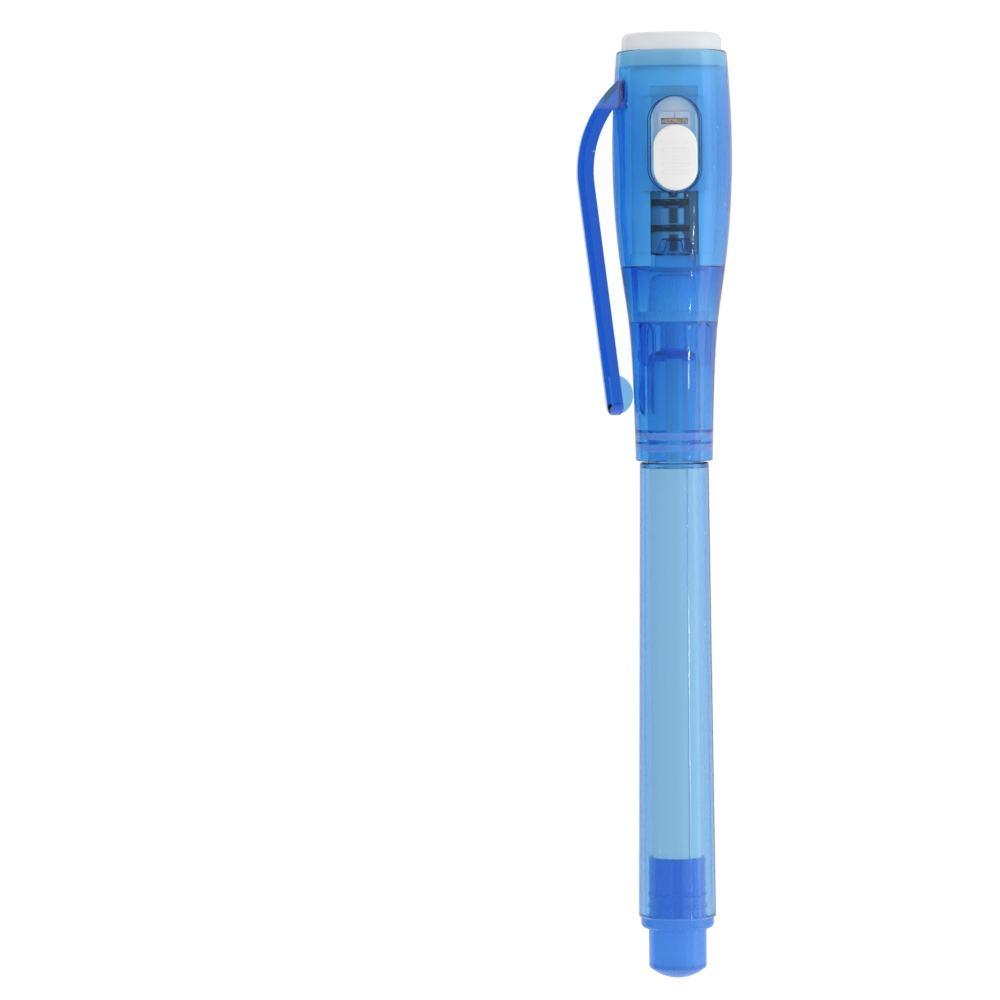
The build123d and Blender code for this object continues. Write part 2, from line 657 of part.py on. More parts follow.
def led_anode_lead():
    """Lead from the lens forward to the switch, with the slim post beside the anvil."""
    x = LEAD_SPACING / 2
    head = LENS_FOOT + LEAD_IN_LENS
    turn = LENS_FOOT - LEAD_WIDTH
    lead = bent_lead((x, head, 0), (x, turn, 0), (x, turn, RIBBON_FRONT))
    edge = x + LEAD_WIDTH / 2
    post = Polyline(
        (edge - LEAD_WIDTH, head),
        (edge, head),
        (edge, head + ANVIL_HEIGHT),
        (3 * ANVIL_GAP / 2, head + ANVIL_HEIGHT),
        close=True,
    )
    return lead + extrude(make_face(post), LEAD_WIDTH / 2, both=True)


def led_lens():
    """Clear bullet-shaped lens with a flange, cast round the heads of both leads."""
    flange_top = LENS_FOOT + LENS_FLANGE
    body_top = flange_top + LENS_BODY_LENGTH
    dome = TangentArc((LENS_RADIUS, body_top), (0, LENS_TOP), tangent=(0, 1))
    wall = Polyline(
        (0, LENS_TOP),
        (0, LENS_FOOT),
        (LENS_FLANGE_RADIUS, LENS_FOOT),
        (LENS_FLANGE_RADIUS, flange_top),
        (LENS_RADIUS, flange_top),
        (LENS_RADIUS, body_top),
    )
    lens = revolve(make_face([dome, *wall.edges()]), axis=Axis.Y)
    return lens - led_cathode_lead() - led_anode_lead()


def contact_strip():
    """Springy strip: a round pad under the stack and a ribbon bent up along the window's edge."""
    level = FLOOR_TOP + STRIP_THICKNESS / 2
    x = WINDOW_HALF_WIDTH - RIBBON_EDGE_GAP - RIBBON_WIDTH / 2
    face = RIBBON_FRONT - STRIP_THICKNESS / 2
    path = FilletPolyline((x, level, 0), (x, level, face), (x, RIBBON_TOP, face), radius=RIBBON_BEND)
    section = Plane(origin=path @ 0, x_dir=(1, 0, 0), z_dir=path % 0)
    ribbon = sweep(section * Rectangle(RIBBON_WIDTH, STRIP_THICKNESS), path)
    return ribbon + disc(PAD_RADIUS, FLOOR_TOP, STACK_FOOT)


def switch_slider():
    """White slide button: ribbed crown and neck through the slot, a base that fills the slot's end."""
    crown_radius = BULGE_RADIUS + BUTTON_RISE
    middle = (BUTTON_LOW + BUTTON_HIGH) / 2
    outline = Pos(0, middle, LEAF_FRONT) * SlotOverall(BUTTON_LENGTH, BUTTON_WIDTH, rotation=90)
    button = extrude(outline, REACH) & disc(crown_radius, BUTTON_LOW - REACH, BUTTON_HIGH + REACH)
    crown = button.faces().filter_by(GeomType.CYLINDER).sort_by(Axis.Z)[-1]
    button = fillet(crown.edges(), BUTTON_ROUND)
    for index in range(GRIP_RIB_COUNT):
        station = middle + (index - (GRIP_RIB_COUNT - 1) / 2) * GRIP_RIB_PITCH
        grip_rib = bead(crown_radius + GRIP_RIB_RISE - GRIP_RIB_RADIUS, station, GRIP_RIB_RADIUS)
        button += grip_rib & slab(GRIP_HALF_WIDTH, BUTTON_LOW, BUTTON_HIGH, 0, REACH)
    shoulder = BUTTON_HIGH - BUTTON_WIDTH / 2
    base = ring(BASE_INNER_RADIUS, BASE_OUTER_RADIUS, BUTTON_LOW, shoulder)
    base += ring(BASE_INNER_RADIUS, BASE_OUTER_RADIUS - PLATE_STEP, shoulder, PLATE_TOP)
    base &= slab(BASE_HALF_WIDTH, BUTTON_LOW, PLATE_TOP, 0, REACH)
    tongue = disc(BASE_OUTER_RADIUS, shoulder, TONGUE_TOP)
    base += tongue & slab(TONGUE_HALF_WIDTH, shoulder, TONGUE_TOP, BASE_INNER_RADIUS, REACH)
    base -= slab(WINDOW_HALF_WIDTH, BUTTON_LOW, PLATE_TOP, 0, LEAF_FRONT)
    boss = disc(BASE_OUTER_RADIUS, shoulder, BOSS_TOP)
    base += boss & slab(TONGUE_HALF_WIDTH, shoulder, BOSS_TOP, LEAF_FRONT, REACH)
    slit_low, slit_high = LUG_TOP - LUG_WIDTH - LUG_FIT, LUG_TOP + LUG_FIT
    base -= slab(LEAF_NECK_HALF_WIDTH + LUG_FIT, slit_low, slit_high, 0, REACH)
    base -= slab(SEAM_HALF_WIDTH, slit_high, TONGUE_TOP, BASE_OUTER_RADIUS - SEAM_DEPTH, REACH)
    return button + base


def switch_contact():
    """Metal leaf under the slider, with a lug bent up through the slit above the button."""
    leaf = slab(LEAF_HALF_WIDTH, LEAF_LOW, LEAF_TOP, LEAF_BACK, LEAF_FRONT)
    neck = slab(LEAF_NECK_HALF_WIDTH, LEAF_TOP, LUG_TOP, LEAF_BACK, LEAF_FRONT)
    lug = slab(LEAF_NECK_HALF_WIDTH, LUG_TOP - LUG_WIDTH, LUG_TOP, LEAF_BACK, REACH)
    return leaf + neck + (lug & disc(BASE_OUTER_RADIUS, LEAF_LOW, LUG_TOP))


def lamp_bezel():
    """White ring pressed into the rim: skirt down to the carrier, rounded head, reflector cone."""
    hole = LENS_RADIUS + PRESS_FIT
    ring_radius = BEZEL_RADIUS - BEZEL_DRAFT
    bezel = turned(
        (hole, CARRIER_TOP),
        (SKIRT_RADIUS, CARRIER_TOP),
        (SKIRT_RADIUS, BEZEL_SEAT),
        (BEZEL_RADIUS, BEZEL_SEAT),
        (BEZEL_RADIUS, CAP_RIM),
        (ring_radius, BEZEL_TOP),
        (REFLECTOR_RADIUS, BEZEL_TOP),
        (hole, BEZEL_TOP - REFLECTOR_DEPTH),
    )
    bezel = fillet(round_edges(bezel, ring_radius, BEZEL_TOP), BEZEL_ROUND)
    return fillet(round_edges(bezel, REFLECTOR_RADIUS, BEZEL_TOP), REFLECTOR_ROUND)


pieces = {
    "barrel": barrel(),
    "rear_plug": rear_plug(),
    "ink_reservoir": ink_reservoir(),
    "reservoir_film": reservoir_film(),
    "nib": nib(),
    "cap_shell": cap_shell(),
    "inner_cap": inner_cap(),
    "battery_carrier": battery_carrier(),
    "led_lens": led_lens(),
    "led_cathode_lead": led_cathode_lead(),
    "led_anode_lead": led_anode_lead(),
    "contact_strip": contact_strip(),
    "switch_slider": switch_slider(),
    "switch_contact": switch_contact(),
    "lamp_bezel": lamp_bezel(),
}
for number in range(CELL_COUNT):
    cell_foot = STACK_FOOT + number * CELL_HEIGHT
    pieces[f"cell_{number + 1}_can"] = cell_can(cell_foot)
    pieces[f"cell_{number + 1}_seal"] = cell_seal(cell_foot)
    pieces[f"cell_{number + 1}_cap"] = cell_cap(cell_foot)

os.makedirs("parts", exist_ok=True)
for name, piece in pieces.items():
    export_step(piece, f"parts/{name}.step")
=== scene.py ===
import math

import bpy
from mathutils import Matrix, Vector

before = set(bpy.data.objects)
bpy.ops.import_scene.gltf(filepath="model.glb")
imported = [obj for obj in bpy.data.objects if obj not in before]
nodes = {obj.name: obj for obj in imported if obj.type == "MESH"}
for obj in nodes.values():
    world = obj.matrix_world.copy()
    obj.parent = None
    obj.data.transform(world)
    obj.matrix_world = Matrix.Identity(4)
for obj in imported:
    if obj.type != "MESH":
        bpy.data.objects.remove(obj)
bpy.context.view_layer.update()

MM = 0.001

# Barrel: an injection moulding in blue polypropylene, clear but faintly hazy, one piece with the section
# under the cap and the nose. Lengthwise flow lines and a skin grain, drawn coarser than it is so that it
# shows, give it a softer gloss than the cap's. It is milkier at the nose's shoulder and the rear edge.
BARREL_TINT = "#C5E3F8"
BARREL_TINT_DEPTH = 1.2 * MM
BARREL_HAZE = "#FFFFFF"
BARREL_CLARITY = 0.99
BARREL_ROUGHNESS = 0.07
POLYPROPYLENE_IOR = 1.49
FLOW_LINE_WIDTH = 0.6 * MM
FLOW_LINE_STRETCH = 0.02
FLOW_LINE_DETAIL = 3.0
FLOW_LINE_DEPTH = 0.0016 * MM
GLOSS_SPREAD = 0.4
WAVE_LENGTH = 2.4 * MM
WAVE_DEPTH = 0.012 * MM
SKIN_GRAIN = 0.2 * MM
SKIN_GRAIN_DEPTH = 0.0015 * MM
SKIN_DETAIL = 1.0
SPECK_SPACING = 2.6 * MM
SPECK_SHARE = 0.045
SPECK_CORE = 0.6
SPECK_CLARITY = 0.35
LET_IN = 0.98
CLOUDY_BLUE = "#8CC4F6"
CLOUDY_CLARITY = 0.7
SHOULDER = (78.6 * MM, 80.1 * MM)
REAR_EDGE = (1.4 * MM, 1.8 * MM)
NOISE_LOW = 0.3
NOISE_HIGH = 0.7


def colour(hexed):
    """Linear colour, with full alpha, of an sRGB hex value such as #4FA6EE."""
    channels = [int(hexed[place:place + 2], 16) / 255 for place in (1, 3, 5)]
    linear = [c / 12.92 if c <= 0.04045 else ((c + 0.055) / 1.055) ** 2.4 for c in channels]
    return (*linear, 1.0)


def add_node(tree, kind, inputs=None, **settings):
    """Adds a node. An input is set to a value, or fed by a socket or by the first output of a node."""
    node = tree.nodes.new(kind)
    for name, value in settings.items():
        setattr(node, name, value)
    for name, value in (inputs or {}).items():
        if isinstance(value, bpy.types.Node):
            value = next(socket for socket in value.outputs if socket.enabled)
        if isinstance(value, bpy.types.NodeSocket):
            tree.links.new(value, node.inputs[name])
        else:
            node.inputs[name].default_value = value
    return node


def new_material(name):
    """Empty material and its tree, ready for nodes."""
    material = bpy.data.materials.new(name)
    material.use_nodes = True
    material.node_tree.nodes.clear()
    return material, material.node_tree


def finish_node(name, material):
    """Gives a node of the model its material."""
    slots = nodes[name].data.materials
    slots.clear()
    slots.append(material)


def blend_in(tree, share, surface, shade, clarity):
    """Turns a shader's colour and clarity to the given ones where the share is 1."""
    for socket, value in ((surface.inputs["Base Color"], colour(shade)),
                          (surface.inputs["Transmission Weight"], clarity)):
        before = socket.links[0].from_socket if socket.is_linked else socket.default_value[:]
        kind = "RGBA" if socket.type == "RGBA" else "FLOAT"
        mix = add_node(tree, "ShaderNodeMix", {"Factor": share, "A": before, "B": value}, data_type=kind)
        tree.links.new(mix.outputs["Result"], socket)


def clear_plastic(name, tint, depth, haze, clarity, roughness, ior, relief=1.0, cloudy=()):
    """Moulded clear plastic that turns to the tint over that depth; waves, flow lines, grain and specks.
    Cloudy gives the stations between which it is milky."""
    material, tree = new_material(name)
    place = add_node(tree, "ShaderNodeTexCoord").outputs["Object"]
    along = add_node(tree, "ShaderNodeMapping", {"Vector": place, "Scale": (1, FLOW_LINE_STRETCH, 1)})
    flow = add_node(tree, "ShaderNodeTexNoise", {
        "Vector": along, "Scale": 1 / FLOW_LINE_WIDTH, "Detail": FLOW_LINE_DETAIL})
    gloss = add_node(tree, "ShaderNodeMapRange", {
        "Value": flow, "From Min": NOISE_LOW, "From Max": NOISE_HIGH,
        "To Min": roughness * (1 - GLOSS_SPREAD), "To Max": roughness * (1 + GLOSS_SPREAD)})
    waves = add_node(tree, "ShaderNodeTexNoise", {
        "Vector": place, "Scale": 1 / WAVE_LENGTH, "Detail": SKIN_DETAIL})
    swell = add_node(tree, "ShaderNodeBump", {"Height": waves, "Distance": WAVE_DEPTH})
    ripple = add_node(tree, "ShaderNodeBump", {
        "Height": flow, "Distance": FLOW_LINE_DEPTH * relief, "Normal": swell})
    grain = add_node(tree, "ShaderNodeTexNoise", {
        "Vector": place, "Scale": 1 / SKIN_GRAIN, "Detail": SKIN_DETAIL})
    skin = add_node(tree, "ShaderNodeBump", {
        "Height": grain, "Distance": SKIN_GRAIN_DEPTH * relief, "Normal": ripple})
    specks = add_node(tree, "ShaderNodeTexVoronoi", {"Vector": place, "Scale": 1 / SPECK_SPACING})
    clear = add_node(tree, "ShaderNodeMapRange", {
        "Value": specks, "From Min": SPECK_SHARE * SPECK_CORE, "From Max": SPECK_SHARE,
        "To Min": SPECK_CLARITY, "To Max": clarity})
    surface = add_node(tree, "ShaderNodeBsdfPrincipled", {
        "Base Color": colour(haze), "Roughness": gloss, "IOR": ior, "Transmission Weight": clear,
        "Normal": skin})
    station = add_node(tree, "ShaderNodeSeparateXYZ", {"Vector": place}).outputs["Y"]
    for low, high in cloudy:
        band = add_node(tree, "ShaderNodeMath", {
            0: station, 1: (low + high) / 2, 2: (high - low) / 2}, operation="COMPARE")
        blend_in(tree, band, surface, CLOUDY_BLUE, CLOUDY_CLARITY)
    losses = [-math.log(channel) / depth for channel in colour(tint)[:3]]
    density = max(losses)
    kept = [1 - loss / density for loss in losses]
    inside = add_node(tree, "ShaderNodeVolumeAbsorption", {"Color": (*kept, 1.0), "Density": density})
    rays = add_node(tree, "ShaderNodeLightPath").outputs
    lighting = add_node(tree, "ShaderNodeMath", {
        0: rays["Is Shadow Ray"], 1: rays["Is Diffuse Ray"]}, operation="ADD", use_clamp=True)
    let_in = add_node(tree, "ShaderNodeBsdfTransparent", {"Color": (LET_IN, LET_IN, LET_IN, 1)})
    both = add_node(tree, "ShaderNodeMixShader", {0: lighting, 1: surface, 2: let_in})
    add_node(tree, "ShaderNodeOutputMaterial", {"Surface": both, "Volume": inside})
    return material


finish_node("barrel", clear_plastic(
    "blue polypropylene, moulded", BARREL_TINT, BARREL_TINT_DEPTH, BARREL_HAZE, BARREL_CLARITY,
    BARREL_ROUGHNESS, POLYPROPYLENE_IOR, cloudy=(SHOULDER, REAR_EDGE)))

# Rear plug: the stopper in the barrel's open end, moulded in a deeper and milkier blue polypropylene, and
# pushed home.
PLUG_TINT = "#C2E4FA"
PLUG_TINT_DEPTH = 1.2 * MM
PLUG_HAZE = "#5FAAF2"
PLUG_CLARITY = 0.55
PLUG_ROUGHNESS = 0.25
finish_node("rear_plug", clear_plastic(
    "deep blue polypropylene, moulded", PLUG_TINT, PLUG_TINT_DEPTH, PLUG_HAZE, PLUG_CLARITY,
    PLUG_ROUGHNESS, POLYPROPYLENE_IOR, relief=0))

# Ink reservoir and nib: bonded polyester fibre, white and matt, with fibres that run along the pen, drawn
# coarser than they are so that they show. The reservoir is pushed into the barrel inside a film, and the
# nib is pushed through the nose into it.
FIBRE_WHITE = "#FEFCF6"
FIBRE_SHADE = "#F5F2E8"
NIB_WHITE = "#FEFDFA"
NIB_SHADE = "#F5F3EE"
FIBRE_WIDTH = 0.12 * MM
FIBRE_STRETCH = 0.04
FIBRE_DEPTH = 0.03 * MM
FIBRE_RELIEF = 0.4
FIBRE_ROUGHNESS = 0.9


def bonded_fibre(name, light, shade):
    """White fibre rod: streaks along the pen in colour and in height."""
    material, tree = new_material(name)
    place = add_node(tree, "ShaderNodeTexCoord").outputs["Object"]
    along = add_node(tree, "ShaderNodeMapping", {"Vector": place, "Scale": (1, FIBRE_STRETCH, 1)})
    strands = add_node(tree, "ShaderNodeTexNoise", {"Vector": along, "Scale": 1 / FIBRE_WIDTH})
    tones = add_node(tree, "ShaderNodeMix", {
        "Factor": strands, "A": colour(shade), "B": colour(light)}, data_type="RGBA")
    relief = add_node(tree, "ShaderNodeBump", {
        "Height": strands, "Distance": FIBRE_DEPTH, "Strength": FIBRE_RELIEF})
    surface = add_node(tree, "ShaderNodeBsdfPrincipled", {
        "Base Color": tones, "Roughness": FIBRE_ROUGHNESS, "Normal": relief})
    add_node(tree, "ShaderNodeOutputMaterial", {"Surface": surface})
    return material


finish_node("ink_reservoir", bonded_fibre("bonded polyester fibre", FIBRE_WHITE, FIBRE_SHADE))
finish_node("nib", bonded_fibre("bonded nib fibre", NIB_WHITE, NIB_SHADE))

# Reservoir film: a clear polypropylene wrap, heat-sealed round the fibre, that keeps the ink off the bore.
# A fine darker line of painted shade runs along its upper side.
FILM_TINT = "#EAF4FA"
FILM_ALPHA = 0.04
FILM_WRINKLE = 4.0 * MM
FILM_GLOSSY = 0.15
FILM_DULL = 0.4
PAINTED_LINE_TINT = "#7FA6C8"
PAINTED_LINE_ALPHA = 0.4
PAINTED_LINE_PLACE = 1.42 * MM
PAINTED_LINE_WIDTH = 0.09 * MM
material, tree = new_material("clear wrap film")
place = add_node(tree, "ShaderNodeTexCoord").outputs["Object"]
where = add_node(tree, "ShaderNodeSeparateXYZ", {"Vector": place}).outputs
# Painted shade: a fine darker line along the rod's upper side.
on_line = add_node(tree, "ShaderNodeMath", {
    0: where["X"], 1: PAINTED_LINE_PLACE, 2: PAINTED_LINE_WIDTH / 2}, operation="COMPARE")
front = add_node(tree, "ShaderNodeMath", {0: where["Z"], 1: 0.0}, operation="GREATER_THAN")
painted_shade_line = add_node(tree, "ShaderNodeMath", {0: on_line, 1: front}, operation="MULTIPLY")
tones = add_node(tree, "ShaderNodeMix", {
    "Factor": painted_shade_line, "A": colour(FILM_TINT), "B": colour(PAINTED_LINE_TINT)}, data_type="RGBA")
wrinkles = add_node(tree, "ShaderNodeTexNoise", {"Vector": place, "Scale": 1 / FILM_WRINKLE})
gloss = add_node(tree, "ShaderNodeMapRange", {
    "Value": wrinkles, "To Min": FILM_GLOSSY, "To Max": FILM_DULL})
cover = add_node(tree, "ShaderNodeMapRange", {"Value": painted_shade_line, "To Min": FILM_ALPHA, "To Max": PAINTED_LINE_ALPHA})
film = add_node(tree, "ShaderNodeBsdfPrincipled", {"Base Color": tones, "Roughness": gloss, "Alpha": cover})
add_node(tree, "ShaderNodeOutputMaterial", {"Surface": film})
finish_node("reservoir_film", material)

# Cap shell and clip: one clear blue polystyrene moulding from a polished mould, harder and glossier than
# the barrel. A dark line of painted shade runs along the slot's edge and round the outline of the key in the
# carrier's window, where they catch no light, while the snap rings at the mouth and the thick root of the
# clip are a little milky.
CAP_TINT = "#84CBF4"
CAP_TINT_DEPTH = 1.6 * MM
CAP_HAZE = "#FFFFFF"
CAP_CLARITY = 0.99
CAP_ROUGHNESS = 0.035
POLYSTYRENE_IOR = 1.57
PAINTED_EDGE_SHADE = "#12306F"
PAINTED_EDGE_CLARITY = 0.25
SLOT_MIDDLE = 107.7 * MM
SLOT_STRAIGHT = 3.2 * MM
SLOT_EDGE = 3.36 * MM
SLOT_SHADE_LINE = 0.06 * MM
KEY_FOOT = 91.35 * MM
KEY_HEIGHT = 3.7 * MM
KEY_SHOULDER = 1.5 * MM
KEY_HALF_WIDTH = 2.55 * MM
KEY_TAPER = 0.85 * MM
KEY_SHADE_LINE = 0.15 * MM
KEY_OUTER_RADIUS = 5.98 * MM
SNAP_RINGS = ((65.9 * MM, 66.9 * MM), (67.5 * MM, 68.5 * MM))
CLIP_ROOT_SIDE = -6.8 * MM
CLIP_ROOT_MIDDLE = 115.0 * MM
CLIP_ROOT_REACH = 2.4 * MM
CLIP_ROOT_FADE = 1.0 * MM
polystyrene = clear_plastic(
    "clear blue polystyrene, polished", CAP_TINT, CAP_TINT_DEPTH, CAP_HAZE, CAP_CLARITY,
    CAP_ROUGHNESS, POLYSTYRENE_IOR, cloudy=SNAP_RINGS)
tree = polystyrene.node_tree
surface = tree.nodes["Principled BSDF"]
place = tree.nodes["Texture Coordinate"].outputs["Object"]
where = add_node(tree, "ShaderNodeSeparateXYZ", {"Vector": place}).outputs
front = add_node(tree, "ShaderNodeMath", {0: where["Z"], 1: 0.0}, operation="GREATER_THAN")

# The slot's edge: painted shade in a line along two straight sides and round the two ends.
off_middle = add_node(tree, "ShaderNodeMath", {0: where["Y"], 1: SLOT_MIDDLE}, operation="SUBTRACT")
from_middle = add_node(tree, "ShaderNodeMath", {0: off_middle}, operation="ABSOLUTE")
past_straight = add_node(tree, "ShaderNodeMath", {
    0: from_middle, 1: SLOT_STRAIGHT}, operation="SUBTRACT", use_clamp=True)
from_spine = add_node(tree, "ShaderNodeCombineXYZ", {"X": where["X"], "Y": past_straight})
reach = add_node(tree, "ShaderNodeVectorMath", {0: from_spine}, operation="LENGTH")
slot_edge = add_node(tree, "ShaderNodeMath", {0: reach, 1: SLOT_EDGE, 2: SLOT_SHADE_LINE}, operation="COMPARE")
painted_slot_shade = add_node(tree, "ShaderNodeMath", {0: slot_edge, 1: front}, operation="MULTIPLY")
blend_in(tree, painted_slot_shade, surface, PAINTED_EDGE_SHADE, PAINTED_EDGE_CLARITY)

# The key's outline: painted shade in a line up its straight sides, along its slanted shoulders and over its
# flat top.
key_lean = math.atan2(KEY_TAPER, KEY_HEIGHT - KEY_SHOULDER)
rise = add_node(tree, "ShaderNodeMath", {0: where["Y"], 1: KEY_FOOT}, operation="SUBTRACT")
aside = add_node(tree, "ShaderNodeMath", {0: where["X"]}, operation="ABSOLUTE")
past_side = add_node(tree, "ShaderNodeMath", {0: aside, 1: KEY_HALF_WIDTH}, operation="SUBTRACT")
past_shoulder = add_node(tree, "ShaderNodeMath", {0: rise, 1: KEY_SHOULDER}, operation="SUBTRACT")
sideways = add_node(tree, "ShaderNodeMath", {0: past_side, 1: math.cos(key_lean)}, operation="MULTIPLY")
past_slant = add_node(tree, "ShaderNodeMath", {
    0: past_shoulder, 1: math.sin(key_lean), 2: sideways}, operation="MULTIPLY_ADD")
past_top = add_node(tree, "ShaderNodeMath", {0: rise, 1: KEY_HEIGHT}, operation="SUBTRACT")
past_sides = add_node(tree, "ShaderNodeMath", {0: past_side, 1: past_slant}, operation="MAXIMUM")
past_key = add_node(tree, "ShaderNodeMath", {0: past_sides, 1: past_top}, operation="MAXIMUM")
painted_key_shade = add_node(tree, "ShaderNodeMath", {0: past_key, 1: 0.0, 2: KEY_SHADE_LINE}, operation="COMPARE")
over_seat = add_node(tree, "ShaderNodeMath", {0: rise, 1: 0.0}, operation="GREATER_THAN")
from_axis = add_node(tree, "ShaderNodeCombineXYZ", {"X": where["X"], "Z": where["Z"]})
radius = add_node(tree, "ShaderNodeVectorMath", {0: from_axis}, operation="LENGTH")
in_bore = add_node(tree, "ShaderNodeMath", {0: radius, 1: KEY_OUTER_RADIUS}, operation="LESS_THAN")
for limit in (over_seat, in_bore, front):
    painted_key_shade = add_node(tree, "ShaderNodeMath", {0: painted_key_shade, 1: limit}, operation="MULTIPLY")
blend_in(tree, painted_key_shade, surface, PAINTED_EDGE_SHADE, PAINTED_EDGE_CLARITY)

# The clip's root: milky beside the cap, fading out along the clip and towards the shell.
off_root = add_node(tree, "ShaderNodeMath", {0: where["Y"], 1: CLIP_ROOT_MIDDLE}, operation="SUBTRACT")
from_root = add_node(tree, "ShaderNodeMath", {0: off_root}, operation="ABSOLUTE")
beside_cap = add_node(tree, "ShaderNodeMapRange", {
    "Value": where["X"], "From Min": CLIP_ROOT_SIDE, "From Max": CLIP_ROOT_SIDE - CLIP_ROOT_FADE})
by_root = add_node(tree, "ShaderNodeMapRange", {
    "Value": from_root, "From Min": CLIP_ROOT_REACH, "From Max": CLIP_ROOT_REACH - CLIP_ROOT_FADE})
clip_root = add_node(tree, "ShaderNodeMath", {0: beside_cap, 1: by_root}, operation="MULTIPLY")
blend_in(tree, clip_root, surface, CLOUDY_BLUE, CLOUDY_CLARITY)
finish_node("cap_shell", polystyrene)

# Inner cap: a thimble in soft polyethylene, cloudier than the shell. It closes over the nose so that the
# nib doesn't dry, and its flange is pressed into the shell.
SEAL_TINT = "#E6F3FC"
SEAL_TINT_DEPTH = 0.8 * MM
SEAL_HAZE = "#EAF6FF"
SEAL_CLARITY = 0.45
SEAL_ROUGHNESS = 0.3
POLYETHYLENE_IOR = 1.51
finish_node("inner_cap", clear_plastic(
    "soft blue polyethylene", SEAL_TINT, SEAL_TINT_DEPTH, SEAL_HAZE, SEAL_CLARITY,
    SEAL_ROUGHNESS, POLYETHYLENE_IOR, relief=0))

# Battery carrier, lamp bezel and switch slider: white ABS, moulded with a spark-eroded grain, drawn coarser
# than it is so that it shows. Carrier and bezel are pressed into the shell, and the slider runs in the slot,
# where its base below the button that stands on it is painted a greyer blue as shade in the slot.
CARRIER_WHITE = "#F2F6FA"
CARRIER_ROUGHNESS = 0.5
BEZEL_WHITE = "#DBDCE0"
BEZEL_ROUGHNESS = 0.32
BUTTON_WHITE = "#EAEAEA"
BUTTON_ROUGHNESS = 0.4
ABS_IOR = 1.54
SLIDER_BASE_SHADE = "#B4C3D4"
BASE_SHADE_TOP = 6.5 * MM
BASE_SHADE_HALF_WIDTH = 2.8 * MM
BASE_SHADE_EDGE = 0.2 * MM
GRAIN = 0.15 * MM
GRAIN_DEPTH = 0.01 * MM
GRAIN_RELIEF = 0.15
GRAIN_GLOSS_SPREAD = 0.2
CLOUD = 6.0 * MM
CLOUD_DARK = 0.94
CLOUD_LIGHT = 1.03


def moulded_plastic(name, shade, roughness, base_shade=None):
    """Moulded opaque plastic: fine grain, a faint cloud in the colour and, if given, painted shade on the
    base.
    """
    material, tree = new_material(name)
    place = add_node(tree, "ShaderNodeTexCoord").outputs["Object"]
    plain = colour(shade)[:3]
    # Painted shade: the base below the button, within a band of the slot's width, takes the greyer colour.
    if base_shade:
        where = add_node(tree, "ShaderNodeSeparateXYZ", {"Vector": place}).outputs
        aside = add_node(tree, "ShaderNodeMath", {0: where["X"]}, operation="ABSOLUTE")
        beside = add_node(tree, "ShaderNodeMapRange", {
            "Value": aside, "From Min": BASE_SHADE_HALF_WIDTH, "From Max": BASE_SHADE_HALF_WIDTH + BASE_SHADE_EDGE})
        above = add_node(tree, "ShaderNodeMapRange", {
            "Value": where["Z"], "From Min": BASE_SHADE_TOP, "From Max": BASE_SHADE_TOP + BASE_SHADE_EDGE})
        outside_base_shade = add_node(tree, "ShaderNodeMath", {0: beside, 1: above}, operation="MAXIMUM")
        plain = add_node(tree, "ShaderNodeMix", {
            "Factor": outside_base_shade, "A": colour(base_shade), "B": colour(shade)}, data_type="RGBA")
    grain = add_node(tree, "ShaderNodeTexNoise", {"Vector": place, "Scale": 1 / GRAIN})
    gloss = add_node(tree, "ShaderNodeMapRange", {
        "Value": grain, "To Min": roughness * (1 - GRAIN_GLOSS_SPREAD),
        "To Max": roughness * (1 + GRAIN_GLOSS_SPREAD)})
    relief = add_node(tree, "ShaderNodeBump", {
        "Height": grain, "Distance": GRAIN_DEPTH, "Strength": GRAIN_RELIEF})
    cloud = add_node(tree, "ShaderNodeTexNoise", {"Vector": place, "Scale": 1 / CLOUD})
    tone = add_node(tree, "ShaderNodeMapRange", {"Value": cloud, "To Min": CLOUD_DARK, "To Max": CLOUD_LIGHT})
    shades = add_node(tree, "ShaderNodeVectorMath", {0: plain, "Scale": tone}, operation="SCALE")
    surface = add_node(tree, "ShaderNodeBsdfPrincipled", {
        "Base Color": shades, "Roughness": gloss, "IOR": ABS_IOR, "Normal": relief})
    add_node(tree, "ShaderNodeOutputMaterial", {"Surface": surface})
    return material


finish_node("battery_carrier", moulded_plastic("white ABS, milky", CARRIER_WHITE, CARRIER_ROUGHNESS))
finish_node("lamp_bezel", moulded_plastic("white ABS, satin", BEZEL_WHITE, BEZEL_ROUGHNESS))
finish_node("switch_slider", moulded_plastic(
    "white ABS, fine grain", BUTTON_WHITE, BUTTON_ROUGHNESS, SLIDER_BASE_SHADE))

# Button cells: nickel-plated steel cans and caps, drawn and polished, with a black nylon seal between can
# and cap. The lines left by the drawing are coarser here than they are, so that they show. Three cells lie
# in a stack in the carrier.
NICKEL = "#D2D7DE"
NICKEL_ROUGHNESS = 0.09
SEAL_BLACK = "#15171C"
NYLON_ROUGHNESS = 0.45
SCRATCH = 0.2 * MM
SCRATCH_STRETCH = 0.03
SCRATCH_DETAIL = 3.0
SCRATCH_GLOSSY = 0.6
SCRATCH_DULL = 1.5
MOTTLE = 0.25 * MM
PLATING_TARNISH = 0.12


